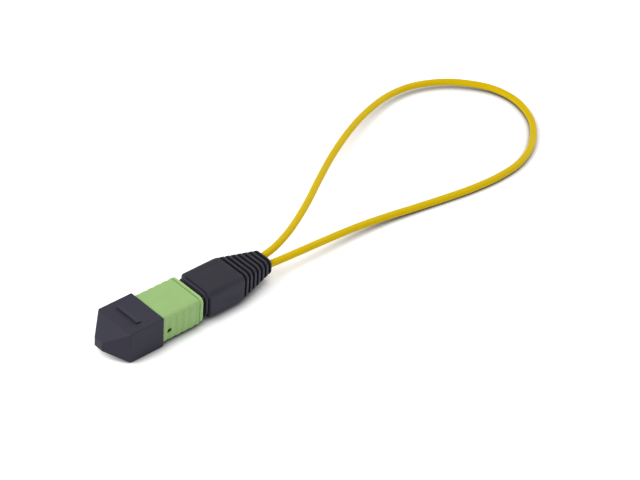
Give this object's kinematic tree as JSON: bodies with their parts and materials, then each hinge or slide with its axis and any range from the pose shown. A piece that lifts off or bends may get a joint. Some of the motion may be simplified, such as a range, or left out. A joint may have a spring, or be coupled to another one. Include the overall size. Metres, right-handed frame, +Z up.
{
  "type": "fibre loopback plug",
  "caption": "Multi-fibre push-on loopback plug with a tapered dust cap, a sliding sleeve, a ribbed boot and a cord that loops back into it.",
  "frame": {"origin": "middle of the capped plug's length, on the surface that the cap stands on", "axes": "+X from the cap's tip to the boot and the cord's loop, +Z up on the key's side"},
  "size_m": [0.1792, 0.0524, 0.0101],
  "materials": {
    "cap_plastic": "moulded black plastic, satin",
    "sleeve_plastic": "moulded light-green plastic, satin",
    "housing_plastic": "moulded black plastic",
    "body_plastic": "moulded black plastic",
    "ferrule_plastic": "filled ferrule plastic, polished face",
    "epoxy": "cured amber adhesive",
    "insert_rubber": "moulded rubber",
    "keeper_metal": "plain steel",
    "spring_steel": "bright spring wire",
    "crimp_metal": "nickel-plated, satin",
    "yarn": "loose aramid yarn",
    "boot_rubber": "soft moulded black plastic",
    "cord_jacket": "extruded yellow jacket",
    "fibre_blue": "coloured fibre coating",
    "fibre_orange": "coloured fibre coating",
    "fibre_green": "coloured fibre coating",
    "fibre_brown": "coloured fibre coating",
    "fibre_slate": "coloured fibre coating",
    "fibre_white": "coloured fibre coating"
  },
  "bodies": {
    "plug": {"plug_housing": "housing_plastic", "rear_body": "body_plastic", "crimp_ring": "crimp_metal", "yarn_left": "yarn", "yarn_right": "yarn", "bend_boot": "boot_rubber", "loop_cord": "cord_jacket", "main_spring": "spring_steel", "coupling_spring_left": "spring_steel", "coupling_spring_right": "spring_steel"},
    "cap": {"dust_cap": "cap_plastic"},
    "sleeve": {"coupling_sleeve": "sleeve_plastic"},
    "ferrule_unit": {"ferrule": "ferrule_plastic", "window_epoxy": "epoxy", "ferrule_boot": "insert_rubber", "pin_keeper": "keeper_metal", "fibre_1_12": "fibre_blue", "fibre_2_11": "fibre_orange", "fibre_3_10": "fibre_green", "fibre_4_9": "fibre_brown", "fibre_5_8": "fibre_slate", "fibre_6_7": "fibre_white"}
  },
  "joints": [
    {"name": "cap_pull", "type": "slide", "parent": "plug", "child": "cap", "axis": [-1, 0, 0], "range_m": [0, 0.03]},
    {"name": "sleeve_slide", "type": "slide", "parent": "plug", "child": "sleeve", "axis": [1, 0, 0], "range_m": [0, 0.0016], "stiffness_N_per_m": 400, "deforming": ["coupling_spring_left", "coupling_spring_right"]},
    {"name": "ferrule_float", "type": "slide", "parent": "plug", "child": "ferrule_unit", "axis": [1, 0, 0], "range_m": [0, 0.0005], "stiffness_N_per_m": 1500, "deforming": ["main_spring", "fibre_1_12", "fibre_2_11", "fibre_3_10", "fibre_4_9", "fibre_5_8", "fibre_6_7"]}
  ]
}
